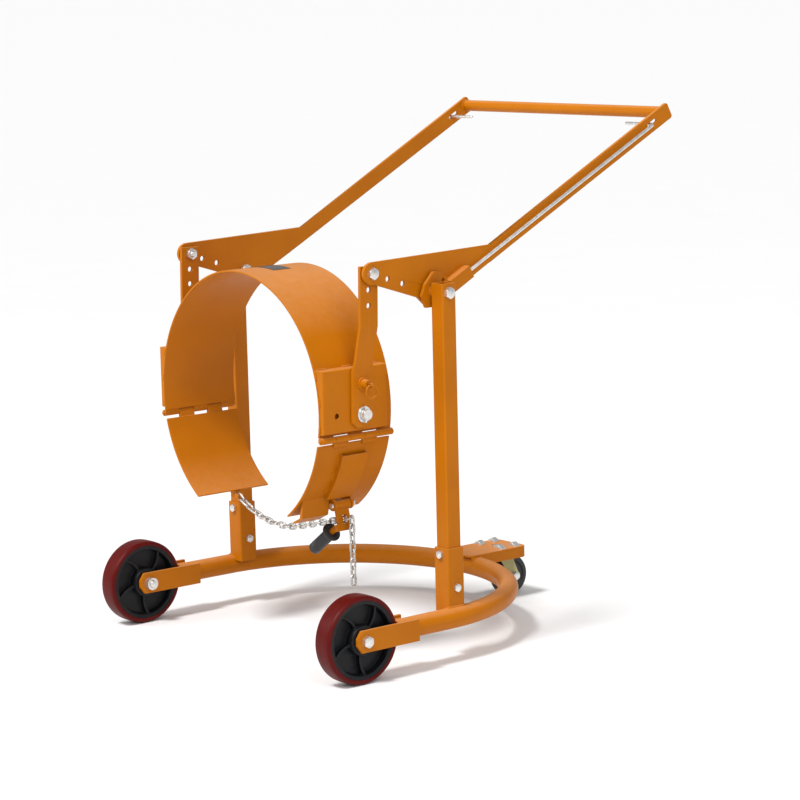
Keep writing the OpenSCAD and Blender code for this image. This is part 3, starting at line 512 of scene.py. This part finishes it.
def bolt(bm, stand, flats, head, shank, length):
    """A hexagon bolt: the head lies behind the stand's origin, the threaded shank ahead of it."""
    turned_round = stand @ Matrix.Rotation(math.pi, 4, "X")
    face = 0.475 * flats
    lathe(bm, [(0, 0), (flats, 0), (flats, head), (face, head), (0, head)], turned_round, 72,
          hexagon(flats, head, False))
    crest, root = shank / 2, shank / 2 - 0.55 * THREAD
    thread_from = max(length - 2.2 * shank, 0.3 * length)
    profile = [(0, 0), (crest, 0), (crest, thread_from)]
    for number in range(int((length - thread_from) / THREAD)):
        at = thread_from + number * THREAD
        profile += [(root, at + 0.4 * THREAD), (crest, at + 0.85 * THREAD), (crest, at + THREAD)]
    lathe(bm, profile + [(root, length), (0, length)], stand, 40)


def nut(bm, stand, flats, height, bore):
    face, inner = 0.475 * flats, bore / 2
    lathe(bm, [(inner, 0.8 * MM), (inner + 0.8 * MM, 0), (face, 0), (flats, 0), (flats, height),
               (face, height), (inner + 0.8 * MM, height), (inner, height - 0.8 * MM)],
          stand, 72, hexagon(flats, height, True))


def washer(bm, stand, outer, bore, thick):
    corner = min(0.5 * MM, thick / 4)
    lathe(bm, filleted([(bore / 2, 0), (outer / 2, 0), (outer / 2, thick), (bore / 2, thick)], corner, 3),
          stand, 60)


def hardware(node):
    """Rebuilds every bolt, nut and washer of a CAD node with chamfers and threads, where each one is."""
    bm = bmesh.new()
    for points in loose_parts(node):
        corner, size = points.min(0), np.ptp(points, axis=0)
        order = np.argsort(size)
        is_bolt = size[order[2]] > 1.5 * size[order[1]]
        axis = order[2] if is_bolt else order[0]
        across = [k for k in range(3) if k != axis]
        centre = corner + size / 2
        radii = np.linalg.norm((points - centre)[:, across], axis=1)
        start, end = corner[axis], corner[axis] + size[axis]
        direction = Vector([1.0 if k == axis else 0.0 for k in range(3)])
        flats = 2 * radii.max() * math.cos(math.pi / 6)
        if is_bolt:
            wide = points[radii > radii.max() * 0.98][:, axis]
            at_high_end = wide.mean() > centre[axis]
            seat = wide.min() if at_high_end else wide.max()
            head = np.ptp(wide)
            place = Vector(centre)
            place[axis] = seat
            bolt(bm, stand_at(place, -direction if at_high_end else direction), flats, head,
                 2 * radii.min(), size[axis] - head)
            continue
        place = Vector(centre)
        place[axis] = start
        stand = stand_at(place, direction)
        if abs(size[across[0]] - size[across[1]]) < 0.03 * size.max():
            washer(bm, stand, 2 * radii.max(), 2 * radii.min(), end - start)
        else:
            nut(bm, stand, flats, end - start, 2 * radii.min())
    piece_from(node + "_finished", bm, BODY_OF[node], SLOT_OF[node], [node], sharp=30)


# ------------------------------------------------------------------ wheels


def front_tyre(side):
    """A cast tread with a slight crown, rounded shoulders and a lip where it grips the rim."""
    node = side + "_tyre"
    centre = middle(node)
    outer = (high(node).z - low(node).z) / 2
    half = (high(node).x - low(node).x) / 2
    rim = outer - 11 * MM
    one_side = [(rim, half - 1 * MM), (rim + 3 * MM, half), (outer - 4 * MM, half),
                (outer - 0.6 * MM, half - 5 * MM), (outer, half - 14 * MM)]
    corners = [(r, -a) for r, a in one_side] + one_side[::-1]
    round_by = [0.5 * MM, 1.5 * MM, 3 * MM, 3 * MM, 6 * MM, 6 * MM, 3 * MM, 3 * MM, 1.5 * MM, 0.5 * MM]
    profile = filleted(corners, round_by)
    bm = bmesh.new()
    lathe(bm, profile, stand_at(centre, (1, 0, 0)), 144)
    piece_from(node + "_cast", bm, BODY_OF[node], SLOT_OF[node], [node])


def caster_tyre():
    """A hard rubber tyre with a crowned tread and a dished side."""
    node = "caster_tyre"
    centre = middle(node)
    outer = (high(node).z - low(node).z) / 2
    hub = (high(node).x - low(node).x) / 2
    half = hub - 3 * MM
    one_side = [(10 * MM, hub), (18 * MM, hub), (19 * MM, half - 4 * MM), (33 * MM, half - 4 * MM),
                (36 * MM, half), (outer - 4 * MM, half), (outer - 0.4 * MM, half - 6 * MM)]
    corners = [(r, -a) for r, a in one_side] + [(outer, 0)] + one_side[::-1]
    bm = bmesh.new()
    lathe(bm, filleted(corners, 2.5 * MM), stand_at(centre, (1, 0, 0)), 96)
    piece_from(node + "_moulded", bm, BODY_OF[node], SLOT_OF[node], [node])


# ------------------------------------------------------------------ lock rods and springs


def spring_line(side):
    """The centres of a rod spring's first and last turn, its coil radius and its wire's radius."""
    turns = sorted(loose_parts(side + "_rod_spring"), key=lambda part: part[:, 1].mean())
    first, last = Vector(turns[0].mean(0)), Vector(turns[-1].mean(0))
    along = np.array((last - first).normalized())
    offsets = turns[0] - turns[0].mean(0)
    radial = offsets - np.outer(offsets @ along, along)
    reach = np.linalg.norm(radial, axis=1)
    outer, inner = float(reach.max()), float(reach.min())
    return first, last, (outer + inner) / 2, (outer - inner) / 2, len(turns)


def rod_spring(side):
    """A compression spring wound on the lock rod, its end turns closed."""
    first, last, coil, wire, turns = spring_line(side)
    stand = stand_at(first, last - first)
    length = (last - first).length
    steps = 22
    count = steps * turns
    path = []
    for number in range(count + 1):
        share = number / count
        eased = share + 0.018 * math.sin(4 * math.pi * share)
        turn = 2 * math.pi * number / steps
        path.append(stand @ Vector((coil * math.cos(turn), coil * math.sin(turn), eased * length)))
    bm = bmesh.new()
    sweep(bm, path, wire * 0.95, 8)
    node = side + "_rod_spring"
    wound = piece_from(node + "_wound", bm, BODY_OF[node], SLOT_OF[node], [node])
    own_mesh(wound)


def tip_to_tip(path, radius):
    """A path with extra points at both ends, and the radius at each, so that a sweep ends in domes."""
    shares = (0.0, 0.12, 0.35, 0.7, 1.0)
    start, end = path[0], path[-1]
    ahead, back = (path[1] - start).normalized(), (path[-2] - end).normalized()
    domes = [(share * radius, radius * math.sqrt(max(1 - (1 - share) ** 2, 0.02))) for share in shares]
    points = [start + ahead * off for off, size in domes]
    sizes = [size for off, size in domes]
    points += path[1:-1] + [end + back * off for off, size in domes[::-1]]
    sizes += [radius] * (len(path) - 2) + sizes[::-1]
    return points, sizes


def bent(corners, radius, steps=7):
    """A path through corners, with each inner corner turned into a bend."""
    path = [corners[0]]
    for before, here, after in zip(corners, corners[1:], corners[2:]):
        start = here + (before - here).normalized() * radius
        end = here + (after - here).normalized() * radius
        path += [(1 - t) ** 2 * start + 2 * t * (1 - t) * here + t ** 2 * end
                 for t in (step / steps for step in range(steps + 1))]
    return path + [corners[-1]]


def lock_rod(side):
    """The rod from the lock to the handle, bent in one piece into the finger, with its spring collar."""
    node = side + "_lock_rod"
    first, last, _, wire, _ = spring_line(side)
    along = (last - first).normalized()
    points = np.array([tuple(v.co) for v in frame["nodes"][node].data.vertices])
    run = (points - np.array(first)) @ np.array(along)
    off_line = points - np.array(first) - np.outer(run, np.array(along))
    distance = np.linalg.norm(off_line, axis=1)
    radius = 4 * MM
    inward = Vector(off_line[distance.argmax()]).normalized()
    finger = float(distance.max())
    corner = first + along * (float(run.max()) - radius)
    nose = first + along * float(run.min())
    path, sizes = tip_to_tip(bent([nose, corner, corner + inward * finger], 9 * MM), radius)
    bm = bmesh.new()
    sweep(bm, path, lambda number: sizes[number], 20)
    collar = 3 * MM
    washer(bm, stand_at(first - along * (wire + 1 * MM + collar), along), 13 * MM, 2 * radius, collar)
    piece_from(node + "_bent", bm, BODY_OF[node], SLOT_OF[node], [node])


# ------------------------------------------------------------------ tightener grip


def tightener_grip():
    """A dipped vinyl grip: a flange that keeps the hand off the hook, a fine waist and a domed end."""
    node = "tightener_grip"
    droop = math.radians(36)
    along = Vector((-math.cos(droop), 0, -math.sin(droop)))
    points = np.array([tuple(v.co) for v in frame["nodes"][node].data.vertices])
    run = points @ np.array(along)
    flange_points = points[run < run.min() + 0.5 * MM]
    start = Vector((flange_points.max(0) + flange_points.min(0)) / 2)
    length = run.max() - run.min()
    grip, flange, bore = 14.5 * MM, 22 * MM, 7.1 * MM
    profile = [(bore, 0), (flange - 2 * MM, 0), (flange, 1.2 * MM), (flange, 3.6 * MM),
               (flange - 1.5 * MM, 5 * MM), (grip - 0.4 * MM, 6.5 * MM)]
    for number in range(9):
        at = 12 * MM + number * 7 * MM
        profile += [(grip, at), (grip, at + 4.6 * MM), (grip - 0.9 * MM, at + 5.4 * MM),
                    (grip - 0.9 * MM, at + 6.2 * MM)]
    dome = [(grip * math.cos(a), length - 7 * MM + 7 * MM * math.sin(a))
            for a in (math.radians(d) for d in range(0, 91, 15))]
    profile += dome + [(0, length - 12 * MM), (bore, length - 12 * MM)]
    bm = bmesh.new()
    lathe(bm, profile, stand_at(start, along), 64)
    piece_from(node + "_dipped", bm, BODY_OF[node], SLOT_OF[node], [node])


# ------------------------------------------------------------------ chain


def chain(node):
    """Welded links where the CAD has them, each with its weld bulging on one side."""
    bm = bmesh.new()
    for points in loose_parts(node):
        centre = points.mean(0)
        axes = np.linalg.svd(points - centre, full_matrices=False)[2]
        size = [float(extent) for extent in np.ptp((points - centre) @ axes.T, axis=0)]
        along, across = Vector(axes[0]), Vector(axes[1])
        wire = size[2] / 2
        half_width = size[1] / 2 - wire
        half_length = size[0] / 2 - wire - half_width
        path, sizes = [], []
        for end in (1, -1):
            for step in range(9):
                turn = math.pi * step / 8
                path.append(Vector(centre) + end * (along * (half_length + half_width * math.sin(turn))
                                                    - across * half_width * math.cos(turn)))
                sizes.append(wire)
            for share in (0.25, 0.5, 0.75):
                path.append(Vector(centre) + end * (along * half_length * (1 - 2 * share)
                                                    + across * half_width))
                sizes.append(wire * (1.10 if end == 1 and share == 0.5 else 0.99))
        sweep(bm, path, lambda number: sizes[number], 10, closed=True)
    piece_from(node + "_links", bm, BODY_OF[node], SLOT_OF[node], [node], sharp=60)


# ------------------------------------------------------------------ welds


class Welds:
    """All the weld beads on one body, painted over with it."""

    def __init__(self, body):
        self.body = body
        self.bm = bmesh.new()

    def bead(self, corners, size=5 * MM):
        """A bead along a path of corners, rippled as each drop of metal froze."""
        step = size * 0.16
        path = []
        for start, end in zip(corners, corners[1:]):
            pieces = max(int((end - start).length / step), 1)
            path += [start.lerp(end, number / pieces) for number in range(pieces)]
        path.append(corners[-1])
        count = len(path)

        def radius(number):
            ripple = abs(math.sin(math.pi * number * 0.16))
            drift = noise.noise(path[number] * 300)
            ends = min(number, count - 1 - number) * step / size
            return size / 2 * (0.84 + 0.13 * ripple + 0.14 * drift) * min(0.35 + ends, 1)

        sweep(self.bm, path, radius, 9)

    def ring(self, centre, axis, radius, size=4 * MM, start=0, end=360):
        stand = stand_at(centre, axis)
        turns = [math.radians(start + (end - start) * k / 36) for k in range(37)]
        self.bead([stand @ Vector((radius * math.cos(t), radius * math.sin(t), 0)) for t in turns], size)

    def done(self):
        piece_from(self.body + "_welds", self.bm, self.body, "orange_paint", sharp=80)


def mirrored(place, side):
    return Vector((place[0] * side, place[1], place[2]))


def base_welds():
    """The sockets and caster bracket on the tube, the fork plates on the legs, the lock sectors."""
    welds = Welds(BODY_OF["base_tube"])
    tube = (high("base_tube").z - low("base_tube").z) / 2
    tube_z = middle("base_tube").z
    leg = high("base_tube").x - tube
    bow_y = high("base_tube").y - tube - leg
    socket_low, socket_high = low("left_post_socket"), high("left_post_socket")
    fork_low, fork_high = low("left_fork_plates"), high("left_fork_plates")
    plate = 8 * MM
    bracket_side = high("caster_bracket").x
    sector_in = high("left_lock_sector").x - 5 * MM
    pivot = middle("pivot_bolts")
    post_in = low("left_post").x
    for side in (1, -1):
        foot = []
        for y in (socket_low.y, socket_high.y):
            middle_x = math.sqrt(leg ** 2 - (y - bow_y) ** 2)
            rise = [Vector((x, y, tube_z + math.sqrt(max(tube ** 2 - (x - middle_x) ** 2, 0))))
                    for x in np.linspace(middle_x - tube * 0.85, socket_high.x, 8)]
            foot.append(rise)
        outline = foot[0] + foot[1][::-1]
        welds.bead([mirrored(point, side) for point in outline], 6 * MM)
        for x, inward in ((fork_high.x - plate, -1), (fork_low.x + plate, 1)):
            edge_y = fork_high.y
            welds.bead([mirrored((x + inward * 1.5 * MM, edge_y, z), side)
                        for z in np.linspace(tube_z - 15 * MM, tube_z + 15 * MM, 5)], 5 * MM)
            welds.bead([mirrored((x + inward * 4 * MM, y, tube_z + 17.5 * MM), side)
                        for y in np.linspace(edge_y - 40 * MM, edge_y - 4 * MM, 5)], 5 * MM)
        middle_y = bow_y + math.sqrt(leg ** 2 - bracket_side ** 2)
        for turns in (range(8, 82, 6), range(98, 172, 6)):
            welds.bead([mirrored((bracket_side, middle_y + tube * math.cos(math.radians(t)),
                                  tube_z + tube * math.sin(math.radians(t))), side)
                        for t in turns], 5 * MM)
        for x in (post_in, sector_in):
            welds.ring(mirrored((x, pivot.y, pivot.z), side), (1, 0, 0), 16.2 * MM, 4 * MM)
    welds.done()


def lever_welds():
    """The handle between its two plates, and the boxes that guide the lock rods."""
    welds = Welds(BODY_OF["handle_tube"])
    handle = middle("handle_tube")
    radius = (high("handle_tube").z - low("handle_tube").z) / 2
    for side in (1, -1):
        inner = mirrored((high("handle_tube").x, handle.y, handle.z), side)
        welds.ring(inner, (1, 0, 0), radius + 0.6 * MM, 5 * MM)
    arm_slope = math.radians(27.34)
    rod_below_pivot, half_guide = 17 * MM, 15 * MM
    along = Vector((0, math.cos(arm_slope), math.sin(arm_slope)))
    across = Vector((0, -math.sin(arm_slope), math.cos(arm_slope)))
    pivot = middle("pivot_bolts")
    foot = Vector((low("left_rod_guide").x + 0.5 * MM, pivot.y, pivot.z)) - across * rod_below_pivot
    for side in (1, -1):
        for v in (-half_guide, half_guide):
            ends = [foot + along * u * MM + across * v for u in range(48, 112, 4)]
            welds.bead([mirrored(point, side) for point in ends], 3 * MM)
    welds.done()


def saddle_welds():
    """The trunnion boxes and the fixed hinge knuckles on the band."""
    welds = Welds(BODY_OF["saddle_band"])
    outer = (high("saddle_band").x - low("saddle_band").x) / 2
    axis_z = high("saddle_band").z - outer
    box_low, box_high = low("left_trunnion_box"), high("left_trunnion_box")

    def on_band(y, z):
        return Vector((math.sqrt(outer ** 2 - (z - axis_z) ** 2), y, z))

    for side in (1, -1):
        height = box_high.z - box_low.z
        for y in (box_low.y - 0.5 * MM, box_high.y + 0.5 * MM):
            for start, end in ((0.0, 0.16), (0.42, 0.58), (0.84, 1.0)):
                welds.bead([mirrored(on_band(y, box_low.z + height * s), side)
                            for s in np.linspace(start, end, 5)], 6 * MM)
        for z in (box_low.z - 0.5 * MM, box_high.z + 0.5 * MM):
            for start, end in ((0.02, 0.2), (0.42, 0.58), (0.8, 0.98)):
                welds.bead([mirrored(on_band(box_low.y + (box_high.y - box_low.y) * s, z), side)
                            for s in np.linspace(start, end, 5)], 5 * MM)
        knuckle = (high("saddle_band").y - low("saddle_band").y) / 5
        edge_z = low("saddle_band").z
        for index in (0, 2, 4):
            y = low("saddle_band").y + index * knuckle
            edge_x = math.sqrt(outer ** 2 - (edge_z - axis_z) ** 2) + 0.4 * MM
            line = [Vector((edge_x, y + knuckle * s, edge_z))
                    for s in np.linspace(0.12, 0.88, 5)]
            welds.bead([mirrored(point, side) for point in line], 5 * MM)
    welds.done()


def wing_welds():
    """The channel ribs on the two wings."""
    outer = (high("saddle_band").x - low("saddle_band").x) / 2
    axis_z = high("saddle_band").z - outer
    for side, name in ((1, "left"), (-1, "right")):
        welds = Welds(BODY_OF[name + "_wing"])
        rib_low, rib_high = low(name + "_wing_rib"), high(name + "_wing_rib")
        for y in (rib_low.y - 0.4 * MM, rib_high.y + 0.4 * MM):
            for start in (20, 28, 36):
                arc = [math.radians(start + step) for step in (0, 1.2, 2.4, 3.6, 4.8)]
                welds.bead([mirrored((outer * math.cos(a), y, axis_z - outer * math.sin(a)), side)
                            for a in arc], 4.5 * MM)
        welds.done()


# ------------------------------------------------------------------ the carrier

BOLTED = ("axle_bolts", "socket_bolts", "pivot_bolts", "caster_bolts", "front_bolts", "caster_axle",
          "tightener_pin")
FOLDED = ("left_trunnion_box", "right_trunnion_box")
PLAIN = ("pull_ring", "left_lock_sector", "right_lock_sector")


def folded_box(node):
    """A trunnion box folded from plate: its outer edges have the bend's radius."""
    bm = cad_copy(node)
    face = max((abs(low(node).x), abs(high(node).x)))
    outline = [edge for edge in bm.edges
               if all(abs(abs(vert.co.x) - face) < 0.01 * MM for vert in edge.verts)
               and edge.calc_face_angle(0) > math.radians(60)
               and any(abs(face_.normal.y) > 0.9 or abs(face_.normal.z) > 0.9 for face_ in edge.link_faces)
               and edge.calc_length() > 20 * MM]
    bmesh.ops.bevel(bm, geom=outline, offset=4 * MM, segments=5, profile=0.5, affect="EDGES")
    piece = piece_from(node + "_folded", bm, BODY_OF[node], SLOT_OF[node], [node])
    round_over(piece, 0.6 * MM)


for node, slot in SLOT_OF.items():
    if node in BOLTED:
        hardware(node)
    elif node in FOLDED:
        folded_box(node)
    elif slot == "orange_paint" and node not in PLAIN:
        softened(node)
    elif slot == "black_iron":
        softened(node, 1.4 * MM, 3)
    elif slot == "passivated_steel" or node in ("trunnion_pins", "caster_kingpin"):
        softened(node, 0.5 * MM)
    elif slot == "chain_zinc":
        chain(node)

for name in ("left", "right"):
    front_tyre(name)
    rod_spring(name)
    lock_rod(name)

caster_tyre()
tightener_grip()
base_welds()
lever_welds()
saddle_welds()
wing_welds()


# ------------------------------------------------------------------ studio


def camera():
    """A long lens in front of the carrier's left side, a little above it."""
    turn, rise, roll = math.radians(50.5), math.radians(8.9), math.radians(-1.4)
    back = Vector((math.sin(turn) * math.cos(rise), -math.cos(turn) * math.cos(rise), math.sin(rise)))
    level = Vector((math.cos(turn), math.sin(turn), 0))
    upright = back.cross(level)
    right = math.cos(roll) * level + math.sin(roll) * upright
    up = math.cos(roll) * upright - math.sin(roll) * level
    data = bpy.data.cameras.new("camera")
    data.sensor_width = 36
    data.lens = 124.92
    data.clip_end = 500
    made = bpy.data.objects.new("camera", data)
    turned = Matrix((right, up, back)).transposed().to_4x4()
    made.matrix_world = Matrix.Translation((5.0828, -4.1780, 1.5626)) @ turned
    bpy.context.scene.collection.objects.link(made)
    bpy.context.scene.camera = made


def floor():
    """A plain pale floor that runs to the horizon."""
    f = Finish("pale_floor")
    speck = f.cloud(3, 3)
    finish = f.done(Base_Color=f.mix(speck, (0.84, 0.84, 0.84), (0.86, 0.86, 0.86)), Roughness=0.85,
                    Specular_IOR_Level=0.1)
    bm = bmesh.new()
    bmesh.ops.create_circle(bm, cap_ends=True, segments=64, radius=220)
    mesh = bpy.data.meshes.new("floor")
    bm.to_mesh(mesh)
    bm.free()
    mesh.materials.append(finish)
    made = bpy.data.objects.new("floor", mesh)
    made.location.z = cad_box[0][2] - 0.2 * MM
    bpy.context.scene.collection.objects.link(made)


def lamp(name, kind, place, target, energy, **settings):
    data = bpy.data.lights.new(name, kind)
    data.energy = energy
    for key, value in settings.items():
        setattr(data, key, value)
    made = bpy.data.objects.new(name, data)
    made.location = place
    made.rotation_euler = (Vector(target) - Vector(place)).to_track_quat("-Z", "Y").to_euler()
    bpy.context.scene.collection.objects.link(made)


def light():
    """A broad high key from the front, a softbox each side, and an even pale surround."""
    lamp("key", "SUN", (0.3, -2.4, 3.7), (0, 0, 0), 2.7, angle=math.radians(12))
    lamp("softbox_left", "AREA", (3.2, -1.2, 2.6), (0, 0, 0.6), 45, shape="RECTANGLE", size=1.8, size_y=2.4)
    lamp("softbox_front", "AREA", (-2.2, -3.4, 2.2), (0, 0, 0.6), 40,
         shape="RECTANGLE", size=2.0, size_y=1.6)
    world = bpy.data.worlds.new("surround")
    world.use_nodes = True
    world.node_tree.nodes["Background"].inputs["Color"].default_value = (1, 1, 1, 1)
    world.node_tree.nodes["Background"].inputs["Strength"].default_value = 0.45
    bpy.context.scene.world = world
    bpy.context.scene.view_settings.view_transform = "Standard"


camera()
floor()
light()
